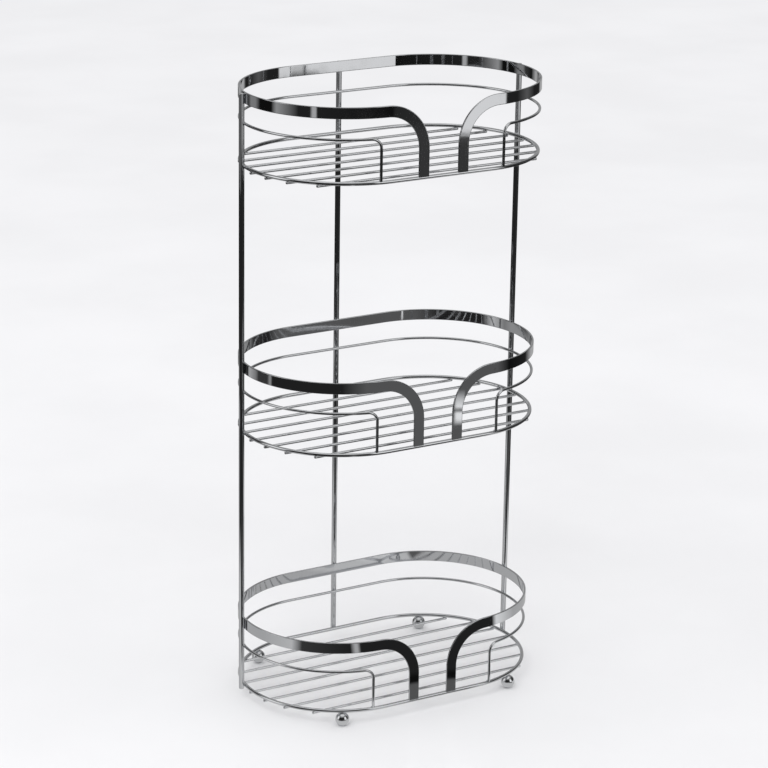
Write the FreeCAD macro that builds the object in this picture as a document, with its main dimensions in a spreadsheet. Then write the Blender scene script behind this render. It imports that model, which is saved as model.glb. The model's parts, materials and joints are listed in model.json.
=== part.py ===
"""Three-tier freestanding bathroom caddy in welded, chrome-plated wire and strip.

Every basket is a closed wire rim with floor wires under it, a thinner middle rail and a flat guard band.
The rail and the band run round the back and the ends, and their front ends turn down onto the rim.
Three posts carry the baskets from the outside, and four balls under the bottom rim are the feet.

The front faces -Y, +Z is up, and the origin is on the floor, in the middle of the caddy's box.
Inside one basket, heights count from the centre of its rim wire.
"""
import FreeCAD, Part
import itertools
import math
import os

import Sketcher
from FreeCAD import Placement, Rotation, Vector

DIMENSIONS = {
    "half_length": 165,        # rim wire's centre line, from the middle to one end
    "half_depth": 106.5,       # the same, from the middle to the front: also the radius of the round ends
    "tier_pitch": 290,         # from one basket to the next
    "rim_diameter": 4,
    "rail_diameter": 3,
    "floor_diameter": 3,
    "post_diameter": 6,
    "strip_height": 12,        # the guard band's flat strip
    "strip_thickness": 2,
    "band_top": 79,            # top edge of the band over the rim
    "band_leg_x": 23.5,        # middle of the band's front leg
    "band_bend_radius": 42.5,  # middle of the strip, where it sweeps down edgewise
    "rail_height": 45.5,       # rail's centre line over the rim
    "rail_bend_x": 83,         # where the rail starts to turn down
    "rail_bend_radius": 10,
    "floor_pitch": 26.2,       # from one floor wire to the next
    "floor_overhang": 2,       # a floor wire's end, past the rim's centre line
    "side_post_y": 15,         # the side posts stand behind the middle
    "post_top_drop": 1,        # post's top end under the top band's edge
    "post_foot_drop": 3.5,     # post's lower end under the bottom rim's centre line
    "foot_diameter": 15,
    "foot_flat": 0.4,          # height cut off the ball where it rests on the floor
    "foot_x": 105,
    "weld_sink": 0.3,          # how far a weld sets one wire into the next
}

TIERS = ("bottom", "middle", "top")
FLOOR_WIRES = 7
SAME_POINT = 1e-6              # two ends closer than this are one point
UP_IN_SKETCH = Vector(0, 1, 0)
UPRIGHT_TO_SIDEWAYS = Rotation(Vector(0, 0, 1), Vector(1, 0, 0))

# Lengths that follow from the driving dimensions, written for the expression engine.
STRAIGHT = "(dims.half_length - dims.half_depth)"
RIM_RADIUS = "(dims.rim_diameter / 2)"
OUTER = "(dims.half_depth + dims.rim_diameter / 2)"
RAIL_DEPTH = f"({OUTER} - dims.rail_diameter / 2)"
RAIL_BEND_ANGLE = f"asin((dims.rail_bend_x - {STRAIGHT}) / {RAIL_DEPTH})"
BAND_INNER = f"({OUTER} - dims.strip_thickness)"
BAND_SIDE = f"({STRAIGHT} + {OUTER} + dims.rim_diameter)"
STRIP_FOOT = "(dims.band_top - dims.strip_height)"
HALF_STRIP = "(dims.strip_height / 2)"
LEG_FOOT = f"({RIM_RADIUS} - dims.weld_sink)"
POST_DEPTH = f"({OUTER} + dims.post_diameter / 2 - dims.weld_sink)"
FOOT_DROP = f"(dims.foot_diameter / 2 + {RIM_RADIUS} - dims.weld_sink)"
RIM_HEIGHT = f"(dims.foot_diameter / 2 - dims.foot_flat + {FOOT_DROP})"
PLAN_Y = "(-(dims.post_diameter - dims.weld_sink) / 2)"

doc = FreeCAD.newDocument("caddy")


def make_sheet():
    """Put the driving dimensions in a spreadsheet, one named cell to a row."""
    sheet = doc.addObject("Spreadsheet::Sheet", "dims")
    for row, (name, value) in enumerate(DIMENSIONS.items(), start=1):
        sheet.set(f"A{row}", name)
        sheet.set(f"B{row}", str(value))
        sheet.setAlias(f"B{row}", name)
    doc.recompute()
    return sheet


sheet = make_sheet()


def value(expression):
    """Return the present value of an expression on the sheet, as a plain number."""
    result = sheet.evalExpression(expression)
    return getattr(result, "Value", result)


def tier_height(tier):
    """Return the expression for the height of a basket's rim over the floor."""
    return f"({RIM_HEIGHT} + {TIERS.index(tier)} * dims.tier_pitch)"


def place(part, x="0", y="0", z="0"):
    """Bind a part's place to the sheet: x and y count from the basket's middle, z from the floor."""
    part.setExpression("Placement.Base.x", x)
    part.setExpression("Placement.Base.y", f"{PLAN_Y} + {y}")
    part.setExpression("Placement.Base.z", z)


def make_body(name, tier):
    """Start a body whose own origin is the centre of a basket's rim."""
    body = doc.addObject("PartDesign::Body", name)
    place(body, z=tier_height(tier))
    return body


def origin_plane(body, role):
    return next(feature for feature in body.Origin.OriginFeatures if feature.Role == role)


def make_sketch(body, name, role):
    """Start a sketch on one of the body's own planes: XY_Plane, XZ_Plane or YZ_Plane."""
    sketch = body.newObject("Sketcher::SketchObject", name)
    sketch.AttachmentSupport = [(origin_plane(body, role), "")]
    sketch.MapMode = "FlatFace"
    return sketch


def constrain(sketch, name, expression, kind, *where):
    """Add a dimension to a sketch and bind it to the sheet."""
    index = sketch.addConstraint(Sketcher.Constraint(kind, *where, value(expression)))
    sketch.renameConstraint(index, name)
    sketch.setExpression(f"Constraints.{name}", expression)


def arc(centre_x, centre_y, radius, start, end):
    """Return a sketch arc between two angles in degrees."""
    circle = Part.Circle(Vector(centre_x, centre_y, 0), Vector(0, 0, 1), radius)
    return Part.ArcOfCircle(circle, math.radians(start), math.radians(end))


def line(start, end):
    return Part.LineSegment(Vector(*start, 0), Vector(*end, 0))


def add_circle(sketch, x, y, radius):
    """Draw one circle whose centre and radius are bound to the sheet."""
    index = sketch.addGeometry(Part.Circle(Vector(value(x), value(y), 0), Vector(0, 0, 1), value(radius)))
    constrain(sketch, "centre_x", x, "DistanceX", -1, 1, index, 3)
    constrain(sketch, "centre_y", y, "DistanceY", -1, 1, index, 3)
    constrain(sketch, "radius", radius, "Radius", index)


def join_ends(sketch, pieces, kind="Coincident"):
    """Draw pieces that meet end to end, and join each to the next where their ends lie together.

    Returns the index of each piece in the sketch.
    """
    indices = [sketch.addGeometry(piece) for piece in pieces]
    for (one, first), (two, second) in itertools.combinations(zip(indices, pieces), 2):
        for end_one, end_two in itertools.product((1, 2), repeat=2):
            if end_point(first, end_one).isEqual(end_point(second, end_two), SAME_POINT):
                sketch.addConstraint(Sketcher.Constraint(kind, one, end_one, two, end_two))
    return indices


def end_point(piece, end):
    return piece.StartPoint if end == 1 else piece.EndPoint


def add_round_ends(sketch, name, depth, open_angle=None):
    """Draw a basket outline: two round ends on the X axis, the straight back and the straight front.

    With an open_angle, there is no front, and each end stops that many degrees short of it.
    Returns the indices of the right and left arcs.
    """
    straight = value(STRAIGHT)
    radius = value(depth)
    turn = open_angle or 0
    pieces = [
        arc(straight, 0, radius, turn - 90, 90),
        line((straight, radius), (-straight, radius)),
        arc(-straight, 0, radius, 90, 270 - turn),
    ]
    if open_angle is None:
        pieces.append(line((-straight, -radius), (straight, -radius)))
    right, _, left, *_ = join_ends(sketch, pieces, "Tangent")
    sketch.addConstraint(Sketcher.Constraint("Equal", right, left))
    sketch.addConstraint(Sketcher.Constraint("PointOnObject", right, 3, -1))
    sketch.addConstraint(Sketcher.Constraint("PointOnObject", left, 3, -1))
    constrain(sketch, f"{name}_right_centre", STRAIGHT, "DistanceX", -1, 1, right, 3)
    constrain(sketch, f"{name}_left_centre", STRAIGHT, "DistanceX", left, 3, -1, 1)
    constrain(sketch, f"{name}_radius", depth, "Radius", right)
    return right, left


def add_pipe(body, name, profile, path):
    """Carry a round profile along a path sketch."""
    pipe = body.newObject("PartDesign::AdditivePipe", name)
    pipe.Profile = profile
    pipe.Spine = (path, [])
    return pipe


def mirror_feature(body, feature):
    """Repeat a right-hand feature on the left."""
    doc.recompute()
    body.Tip = feature
    mirrored = body.newObject("PartDesign::Mirrored", f"left_{feature.Name}")
    mirrored.Originals = [feature]
    mirrored.MirrorPlane = (origin_plane(body, "YZ_Plane"), [""])
    body.Tip = mirrored


def seat(label, blank, tool):
    """Finish a piece with the shallow seats that its welds make where it meets another piece."""
    piece = doc.addObject("Part::Cut", f"{label}_piece")
    piece.Base = blank
    piece.Tool = tool
    piece.Label = label
    return piece


def make_rim(tier):
    """Bend one wire to a closed stadium."""
    body = make_body(f"{tier}_rim", tier)
    path = make_sketch(body, "rim_path", "XY_Plane")
    add_round_ends(path, "rim", "dims.half_depth")
    wire = make_sketch(body, "rim_wire", "YZ_Plane")
    add_circle(wire, "dims.half_depth", "0", RIM_RADIUS)
    add_pipe(body, "rim_pipe", wire, path)
    return body


def make_rail(tier, rim):
    """Run a wire round the back and the ends, and turn its front ends down onto the rim."""
    body = make_body(f"{tier}_rail_blank", tier)
    path = make_sketch(body, "rail_path", "XY_Plane")
    path.setExpression("AttachmentOffset.Base.z", "dims.rail_height")
    right, left = add_round_ends(path, "rail", RAIL_DEPTH, value(RAIL_BEND_ANGLE))
    constrain(path, "right_bend", "dims.rail_bend_x", "DistanceX", -1, 1, right, 1)
    constrain(path, "left_bend", "dims.rail_bend_x", "DistanceX", left, 2, -1, 1)
    wire = make_sketch(body, "rail_wire", "YZ_Plane")
    add_circle(wire, RAIL_DEPTH, "dims.rail_height", "dims.rail_diameter / 2")
    add_pipe(body, "rail_run", wire, path)
    leg = add_pipe(body, "rail_leg", *make_rail_leg_sketches(body))
    mirror_feature(body, leg)
    return seat(f"{tier}_rail", body, rim)


def make_rail_leg_sketches(body):
    """Draw the right-hand bend and leg, and their round section.

    Both are upright and cross where the rail starts to turn down: the path along the rail, the section
    square to it. In each of them, X counts from that crossing.
    """
    radius, height, foot = (value(e) for e in ("dims.rail_bend_radius", "dims.rail_height", LEG_FOOT))
    path = make_rail_end_sketch(body, "leg_path", RAIL_BEND_ANGLE)
    bend = path.addGeometry(arc(0, height - radius, radius, 90, 180))
    leg = path.addGeometry(line((-radius, height - radius), (-radius, foot)))
    path.addConstraint(Sketcher.Constraint("Tangent", bend, 2, leg, 1))
    path.addConstraint(Sketcher.Constraint("Vertical", leg))
    path.addConstraint(Sketcher.Constraint("PointOnObject", bend, 3, -2))
    path.addConstraint(Sketcher.Constraint("PointOnObject", bend, 1, -2))
    constrain(path, "bend_radius", "dims.rail_bend_radius", "Radius", bend)
    constrain(path, "height", "dims.rail_height", "DistanceY", -1, 1, bend, 1)
    constrain(path, "foot", LEG_FOOT, "DistanceY", -1, 1, leg, 2)
    wire = make_rail_end_sketch(body, "leg_wire", f"{RAIL_BEND_ANGLE} + 90 deg")
    add_circle(wire, "0", "dims.rail_height", "dims.rail_diameter / 2")
    return wire, path


def make_rail_end_sketch(body, name, turn):
    """Start an upright sketch where the rail's right-hand end turns down, turned about the vertical."""
    sketch = make_sketch(body, name, "XZ_Plane")
    sketch.AttachmentOffset = Placement(Vector(), Rotation(UP_IN_SKETCH, value(turn)))
    sketch.setExpression("AttachmentOffset.Base.x", "dims.rail_bend_x")
    sketch.setExpression("AttachmentOffset.Base.z", f"{RAIL_DEPTH} * cos({RAIL_BEND_ANGLE})")
    sketch.setExpression("AttachmentOffset.Rotation.Angle", turn)
    return sketch


def make_band(tier, rim):
    """Roll a flat strip round the back and the ends, and sweep its front ends down onto the rim.

    It is cut from a ring as tall as the band with its legs. What comes off is the ring's back half under the
    strip, the front half beside each leg, and the front gap between the legs.
    """
    body = make_body(f"{tier}_band_blank", tier)
    outline = make_sketch(body, "ring_outline", "XY_Plane")
    outline.setExpression("AttachmentOffset.Base.z", LEG_FOOT)
    add_round_ends(outline, "outer", OUTER)
    add_round_ends(outline, "inner", BAND_INNER)
    ring = body.newObject("PartDesign::Pad", "ring")
    ring.Profile = outline
    ring.setExpression("Length", f"dims.band_top - {LEG_FOOT}")
    add_pocket(body, "under_back", draw_under_back, to_front=False)
    beside_leg = add_pocket(body, "beside_leg", draw_beside_leg, to_front=True)
    mirror_feature(body, beside_leg)
    add_pocket(body, "front_gap", draw_front_gap, to_front=True)
    return seat(f"{tier}_band", body, rim)


def add_pocket(body, name, draw, to_front):
    """Cut a front-view outline through half of the body, from its middle to the front or to the back."""
    outline = make_sketch(body, f"{name}_outline", "XZ_Plane")
    draw(outline)
    pocket = body.newObject("PartDesign::Pocket", name)
    pocket.Profile = outline
    pocket.Type = "ThroughAll"
    pocket.Reversed = to_front
    body.Tip = pocket
    return pocket


def constrain_point(sketch, name, x, y, index, end):
    """Bind both coordinates of a point in a sketch to the sheet."""
    constrain(sketch, f"{name}_x", x, "DistanceX", -1, 1, index, end)
    constrain(sketch, f"{name}_y", y, "DistanceY", -1, 1, index, end)


def draw_under_back(sketch):
    """Draw the box under the strip, from end to end."""
    side, top = value(BAND_SIDE), value(STRIP_FOOT)
    base, right, lid, left = join_ends(sketch, [
        line((-side, 0), (side, 0)),
        line((side, 0), (side, top)),
        line((side, top), (-side, top)),
        line((-side, top), (-side, 0)),
    ])
    for upright in (right, left):
        sketch.addConstraint(Sketcher.Constraint("Vertical", upright))
    for level in (base, lid):
        sketch.addConstraint(Sketcher.Constraint("Horizontal", level))
    sketch.addConstraint(Sketcher.Constraint("Symmetric", base, 1, base, 2, -1, 1))
    constrain_point(sketch, "corner", BAND_SIDE, STRIP_FOOT, right, 2)


def draw_beside_leg(sketch):
    """Draw the space under the strip on the outer side of the right leg, with the sweep's inner arc."""
    leg = f"dims.band_leg_x + {HALF_STRIP}"
    radius = f"dims.band_bend_radius - {HALF_STRIP}"
    side, top, leg_x, bend = (value(e) for e in (BAND_SIDE, STRIP_FOOT, leg, radius))
    base, right, lid, sweep, leg_side = join_ends(sketch, [
        line((leg_x, 0), (side, 0)),
        line((side, 0), (side, top)),
        line((side, top), (leg_x + bend, top)),
        arc(leg_x + bend, top - bend, bend, 90, 180),
        line((leg_x, top - bend), (leg_x, 0)),
    ])
    sketch.addConstraint(Sketcher.Constraint("Horizontal", base))
    sketch.addConstraint(Sketcher.Constraint("Horizontal", lid))
    sketch.addConstraint(Sketcher.Constraint("Vertical", leg_side))
    sketch.addConstraint(Sketcher.Constraint("Vertical", sweep, 1, sweep, 3))
    sketch.addConstraint(Sketcher.Constraint("Horizontal", sweep, 2, sweep, 3))
    constrain(sketch, "sweep_radius", radius, "Radius", sweep)
    constrain_point(sketch, "leg_foot", leg, "0", base, 1)
    constrain_point(sketch, "far_corner", BAND_SIDE, STRIP_FOOT, right, 2)
    sketch.addConstraint(Sketcher.Constraint("Vertical", right))


def draw_front_gap(sketch):
    """Draw the gap between the legs, which opens upward along the two sweeps' outer arcs."""
    leg = f"dims.band_leg_x - {HALF_STRIP}"
    radius = f"dims.band_bend_radius + {HALF_STRIP}"
    leg_x, bend, top, rise = (value(e) for e in (leg, radius, "dims.band_top", "dims.strip_height"))
    root = leg_x + bend
    base, right_leg, right_sweep, right_rise, lid, left_rise, left_sweep, left_leg = join_ends(sketch, [
        line((-leg_x, 0), (leg_x, 0)),
        line((leg_x, 0), (leg_x, top - bend)),
        arc(root, top - bend, bend, 90, 180),
        line((root, top), (root, top + rise)),
        line((root, top + rise), (-root, top + rise)),
        line((-root, top + rise), (-root, top)),
        arc(-root, top - bend, bend, 0, 90),
        line((-leg_x, top - bend), (-leg_x, 0)),
    ])
    sketch.addConstraint(Sketcher.Constraint("Equal", right_sweep, left_sweep))
    for upright in (right_leg, right_rise, left_rise, left_leg):
        sketch.addConstraint(Sketcher.Constraint("Vertical", upright))
    sketch.addConstraint(Sketcher.Constraint("Vertical", right_sweep, 1, right_sweep, 3))
    sketch.addConstraint(Sketcher.Constraint("Horizontal", right_sweep, 2, right_sweep, 3))
    sketch.addConstraint(Sketcher.Constraint("Vertical", left_sweep, 2, left_sweep, 3))
    sketch.addConstraint(Sketcher.Constraint("Horizontal", left_sweep, 1, left_sweep, 3))
    sketch.addConstraint(Sketcher.Constraint("Symmetric", base, 1, base, 2, -1, 1))
    sketch.addConstraint(Sketcher.Constraint("Horizontal", base))
    sketch.addConstraint(Sketcher.Constraint("Horizontal", lid))
    sketch.addConstraint(Sketcher.Constraint("Horizontal", right_sweep, 3, left_sweep, 3))
    constrain(sketch, "half_gap", leg, "DistanceX", -1, 1, base, 2)
    constrain(sketch, "sweep_radius", radius, "Radius", right_sweep)
    constrain(sketch, "band_top", "dims.band_top", "DistanceY", -1, 1, right_sweep, 1)
    constrain(sketch, "rise", "dims.strip_height", "DistanceY", right_rise, 1, right_rise, 2)


def make_rod(name, diameter, length):
    """Make a plain round rod along its own Z axis."""
    rod = doc.addObject("Part::Cylinder", f"{name}_blank")
    rod.setExpression("Radius", f"{diameter} / 2")
    rod.setExpression("Height", length)
    return rod


def make_floor_wires(tier, rim):
    """Lay the straight floor wires under a rim, from the front to the back."""
    drop = f"({RIM_RADIUS} + dims.floor_diameter / 2 - dims.weld_sink)"
    wires = []
    for number in range(1, FLOOR_WIRES + 1):
        label = f"{tier}_floor_wire_{number}"
        y = f"({number - (FLOOR_WIRES + 1) / 2} * dims.floor_pitch)"
        reach = f"({STRAIGHT} + sqrt(dims.half_depth^2 - {y}^2) + dims.floor_overhang)"
        rod = make_rod(label, "dims.floor_diameter", f"2 * {reach}")
        rod.Placement = Placement(Vector(), UPRIGHT_TO_SIDEWAYS)
        place(rod, x=f"-{reach}", y=y, z=f"{tier_height(tier)} - {drop}")
        wires.append(seat(label, rod, rim))
    return wires


def make_posts(supported):
    """Stand the three posts outside the baskets, against every rim, rail and band."""
    side_x = f"({STRAIGHT} + sqrt({POST_DEPTH}^2 - dims.side_post_y^2))"
    places = {
        "left_post": (f"-{side_x}", "dims.side_post_y"),
        "right_post": (side_x, "dims.side_post_y"),
        "back_post": ("0", POST_DEPTH),
    }
    baskets = doc.addObject("Part::Compound", "baskets")
    baskets.Links = supported
    foot = f"({tier_height('bottom')} - dims.post_foot_drop)"
    top = f"({tier_height('top')} + dims.band_top - dims.post_top_drop)"
    posts = []
    for label, (x, y) in places.items():
        rod = make_rod(label, "dims.post_diameter", f"{top} - {foot}")
        place(rod, x=x, y=y, z=foot)
        posts.append(seat(label, rod, baskets))
    return posts


def make_feet(rim):
    """Set a ball under the rim at each corner, with a small flat where it rests on the floor."""
    foot_y = f"sqrt(dims.half_depth^2 - (dims.foot_x - {STRAIGHT})^2)"
    feet = []
    for depth_name, y in (("front", f"-{foot_y}"), ("back", foot_y)):
        for side_name, x in (("left", "-dims.foot_x"), ("right", "dims.foot_x")):
            label = f"{depth_name}_{side_name}_foot"
            ball = doc.addObject("Part::Sphere", f"{label}_blank")
            ball.setExpression("Radius", "dims.foot_diameter / 2")
            ball.setExpression("Angle1", "-asin(1 - 2 * dims.foot_flat / dims.foot_diameter)")
            place(ball, x=x, y=y, z="dims.foot_diameter / 2 - dims.foot_flat")
            feet.append(seat(label, ball, rim))
    return feet


def make_caddy():
    """Build every piece and return them all."""
    supported, rest = [], []
    for tier in TIERS:
        rim = make_rim(tier)
        supported += [rim, make_rail(tier, rim), make_band(tier, rim)]
        rest += make_floor_wires(tier, rim)
        if tier == "bottom":
            rest += make_feet(rim)
    doc.recompute()
    return supported + make_posts(supported) + rest


def check(parts):
    """Stop on any object that did not build, and on any part that is not one valid solid."""
    for item in doc.Objects:
        if {"Invalid", "Error"} & set(item.State):
            raise RuntimeError(f"{item.Label} did not build: {item.State}")
    for part in parts:
        shape = part.Shape
        if shape.isNull() or not shape.isValid() or len(shape.Solids) != 1:
            raise RuntimeError(f"{part.Label} is not one valid solid")


def export(parts):
    """Write each part to its own file, named by its label."""
    os.makedirs("parts", exist_ok=True)
    for part in parts:
        part.Shape.exportStep(f"parts/{part.Label}.step")
    print(f"{len(parts)} parts")


caddy = make_caddy()
doc.recompute()
check(caddy)
export(caddy)
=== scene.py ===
"""Looks of a freestanding bathroom caddy: three chromed wire baskets on three posts and four ball feet.

Lengths are metres in the caddy's own frame: its front faces -Y, +Z is up and it stands on z = 0.
Wires, strips, balls and welds are surfaces worked out on grids. Every finish is a graph of shader nodes.
"""

import json
import logging
import math
from abc import ABC, abstractmethod
from collections.abc import Mapping, Sequence
from dataclasses import dataclass, field
from enum import Enum
from typing import ClassVar, Union

import bpy
import numpy as np
from mathutils import Matrix, Vector
from numpy.typing import NDArray


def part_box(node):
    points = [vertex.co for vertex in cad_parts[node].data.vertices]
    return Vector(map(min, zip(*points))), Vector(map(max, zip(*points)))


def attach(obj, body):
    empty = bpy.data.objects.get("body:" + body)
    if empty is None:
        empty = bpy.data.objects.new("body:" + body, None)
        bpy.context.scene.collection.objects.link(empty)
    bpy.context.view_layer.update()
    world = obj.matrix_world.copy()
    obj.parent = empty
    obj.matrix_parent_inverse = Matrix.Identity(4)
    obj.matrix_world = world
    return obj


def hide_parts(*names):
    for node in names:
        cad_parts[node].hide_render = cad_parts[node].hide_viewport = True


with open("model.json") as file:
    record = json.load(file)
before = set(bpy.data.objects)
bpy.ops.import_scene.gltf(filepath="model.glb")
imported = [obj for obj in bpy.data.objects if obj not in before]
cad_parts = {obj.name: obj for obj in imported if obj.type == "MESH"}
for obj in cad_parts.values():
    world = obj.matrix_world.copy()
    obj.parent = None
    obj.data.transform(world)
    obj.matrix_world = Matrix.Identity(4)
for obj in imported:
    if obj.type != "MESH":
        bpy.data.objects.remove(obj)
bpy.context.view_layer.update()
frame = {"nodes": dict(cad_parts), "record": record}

Array = NDArray[np.float64]
Pair = tuple[float, float]
Triple = tuple[float, float, float]
UP = np.array([0.0, 0.0, 1.0])
MIRROR_X = np.array([-1.0, 1.0, 1.0])
BODY = "root"
UV_NAME = "draw"
LOG = logging.getLogger("caddy")


class Tier(Enum):
    """The three baskets, from the top down."""

    TOP = "top"
    MIDDLE = "middle"
    BOTTOM = "bottom"


class Slot(Enum):
    """The record's material slots."""

    WIRE = "wire"
    BAND = "band"
    BALL = "ball"

    @property
    def tint(self) -> Triple:
        """The colour that the record gives this slot."""
        rows = frame["record"]["materials"]
        return next(tuple(row["base_color"]) for row in rows if row["slot"] == self.value)


class Tone(Enum):
    """How bright a stretch of the painted reflection screens looks in the chrome, where 1 is white."""

    BLACK = 0.006
    SOOT = 0.018
    CHARCOAL = 0.045
    SLATE = 0.11
    GREY = 0.24
    STEEL = 0.33
    SILVER = 0.46
    ASH = 0.58
    PALE = 0.84
    WHITE = 1.0


BLACK, SOOT, CHARCOAL, SLATE, GREY, STEEL, SILVER, ASH, PALE, WHITE = Tone


def new_object(name: str, data: bpy.types.ID) -> bpy.types.Object:
    """Put a mesh, lamp or camera into the scene.

    Args:
        name: The object's name.
        data: Its mesh, lamp or camera.

    Returns:
        The new object, at the origin.
    """
    item = bpy.data.objects.new(name, data)
    bpy.context.scene.collection.objects.link(item)
    return item


def plan_centre(node: str) -> Pair:
    """Middle of a CAD node's box, seen from above."""
    low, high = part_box(node)
    return (low.x + high.x) / 2.0, (low.y + high.y) / 2.0


@dataclass(frozen=True)
class Shell:
    """A closed surface, ready to become a mesh.

    Attributes:
        points: One row of x, y and z per point.
        quads: One row of four point numbers per face of the grid.
        caps: One row of point numbers per flat end.
        corner_uv: One row per face corner, quads first: metres along the piece and metres around it.
    """

    points: Array
    quads: NDArray[np.int64]
    caps: NDArray[np.int64]
    corner_uv: Array

    @classmethod
    def from_grid(cls, grid: Array, ring: bool = False) -> "Shell":
        """Join a grid of points into a closed surface.

        Each column joins the next and the last joins the first. Rows join the same way on a ring, and
        otherwise one flat face closes each end. A face looks outwards if its normal points away from the
        middle of its row, and where the faces look inwards the columns are taken in the other order.

        Args:
            grid: Points by row, column and axis.
            ring: Whether the last row joins the first.

        Returns:
            The surface, with its map measured on the grid.
        """
        facing = np.cross(np.roll(grid, -1, axis=1) - grid, np.roll(grid, -1, axis=0) - grid)
        outward = grid - grid.mean(axis=1, keepdims=True)
        if np.sum(facing[:-1] * outward[:-1]) < 0.0:
            grid = grid[:, ::-1]
        rows, columns = grid.shape[:2]
        i = np.arange(rows if ring else rows - 1)[:, None]
        j = np.arange(columns)[None, :]
        here, there = i * columns, (i + 1) % rows * columns
        beside = (j + 1) % columns
        quads = np.stack([here + j, here + beside, there + beside, there + j], axis=-1).reshape(-1, 4)
        first = np.arange(columns)
        caps = np.stack([first[::-1], first + (rows - 1) * columns])[: 0 if ring else 2]

        steps = np.linalg.norm(np.roll(grid, -1, axis=0) - grid, axis=2).mean(axis=1)
        along = np.concatenate([[0.0], np.cumsum(steps)])
        section = grid[rows // 2]
        sides = np.linalg.norm(np.roll(section, -1, axis=0) - section, axis=1)
        around = np.concatenate([[0.0], np.cumsum(sides)])
        u = np.stack([along[i], along[i], along[i + 1], along[i + 1]], axis=-1)
        v = np.stack([around[j], around[j + 1], around[j + 1], around[j]], axis=-1)
        quad_uv = np.stack(np.broadcast_arrays(u, v), axis=-1).reshape(-1, 2)
        cap_u = np.array([along[0], along[rows - 1]])[: len(caps), None]
        cap_uv = np.stack(np.broadcast_arrays(cap_u, around[None, :columns]), axis=-1).reshape(-1, 2)
        return cls(grid.reshape(-1, 3), quads, caps, np.concatenate([quad_uv, cap_uv]))

    @classmethod
    def joined(cls, shells: Sequence["Shell"]) -> "Shell":
        """Put several surfaces with equally wide ends into one, each still closed.

        Args:
            shells: The surfaces.

        Returns:
            One surface with all their points and faces.
        """
        starts = np.cumsum([0] + [len(shell.points) for shell in shells[:-1]])
        quads = [shell.quads + start for shell, start in zip(shells, starts)]
        caps = [shell.caps + start for shell, start in zip(shells, starts)]
        quad_uv = [shell.corner_uv[: shell.quads.size] for shell in shells]
        cap_uv = [shell.corner_uv[shell.quads.size:] for shell in shells]
        points = np.concatenate([shell.points for shell in shells])
        return cls(points, np.concatenate(quads), np.concatenate(caps), np.concatenate(quad_uv + cap_uv))

    def to_object(self, name: str) -> bpy.types.Object:
        """Make the mesh and its object, at the origin.

        Args:
            name: The piece's name.

        Returns:
            The new object, smooth shaded, with the map as its UV layer.
        """
        mesh = bpy.data.meshes.new(name)
        mesh.from_pydata(self.points, [], self.quads.tolist() + self.caps.tolist())
        layer = mesh.uv_layers.new(name=UV_NAME)
        layer.data.foreach_set("uv", self.corner_uv.astype(np.float32).ravel())
        mesh.shade_smooth()
        return new_object(name, mesh)


@dataclass(frozen=True)
class Line:
    """The centre line of a round wire.

    Attributes:
        points: The line's points in order.
        across: At each point a unit vector square to the line, from which a section is turned.
        ring: Whether the line closes up.
    """

    points: Array
    across: Array
    ring: bool = False

    SIDES: ClassVar[int] = 32
    END_ROWS: ClassVar[int] = 7
    SHARES: ClassVar[tuple[float, ...]] = (0.0, 0.25, 0.75, 1.0)

    @classmethod
    def straight(cls, start: Sequence[float], end: Sequence[float], across: Sequence[float]) -> "Line":
        """Draw a straight line, with two points just inside its ends.

        Args:
            start: Where it starts.
            end: Where it ends.
            across: A unit vector square to it.

        Returns:
            The line.
        """
        share = np.array(cls.SHARES)[:, None]
        points = (1.0 - share) * np.asarray(start) + share * np.asarray(end)
        return cls(points, np.tile(np.asarray(across, dtype=float), (len(points), 1)))

    def tube(self, radius: float, round_over: float = 0.0) -> Shell:
        """Carry a circle along the line.

        Point (i, j) is the line's point i plus the radius times cos b times across plus sin b times
        upright, where b goes once round with j and upright is the tangent crossed with across. At an open
        end the circle draws in along a quarter round: at the angle a it stands round_over times (1 - sin a)
        from the tip, and its radius is smaller by round_over times (1 - cos a).

        Args:
            radius: The wire's radius.
            round_over: The radius of the edge of its cut ends.

        Returns:
            The wire's surface.
        """
        if self.ring:
            tangents = np.roll(self.points, -1, axis=0) - np.roll(self.points, 1, axis=0)
        else:
            tangents = np.gradient(self.points, axis=0)
        tangents /= np.linalg.norm(tangents, axis=1, keepdims=True)
        upright = np.cross(tangents, self.across)
        points, across, radii = self.points, self.across, np.full(len(self.points), radius)
        if not self.ring:
            quarter = np.linspace(np.pi / 2.0, 0.0, self.END_ROWS)
            inset = round_over * (1.0 - np.sin(quarter))[:, None]
            drawn_in = radius - round_over * (1.0 - np.cos(quarter))
            start = points[0] + inset * tangents[0]
            end = (points[-1] - inset * tangents[-1])[::-1]
            points = np.concatenate([start, points[1:-1], end])
            row = np.ones((self.END_ROWS, 1))
            across = np.concatenate([row * across[0], across[1:-1], row * across[-1]])
            upright = np.concatenate([row * upright[0], upright[1:-1], row * upright[-1]])
            radii = np.concatenate([drawn_in, radii[1:-1], drawn_in[::-1]])
        turn = np.linspace(0.0, 2.0 * np.pi, self.SIDES, endpoint=False)[None, :, None]
        spokes = np.cos(turn) * across[:, None, :] + np.sin(turn) * upright[:, None, :]
        return Shell.from_grid(points[:, None, :] + radii[:, None, None] * spokes, self.ring)


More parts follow.
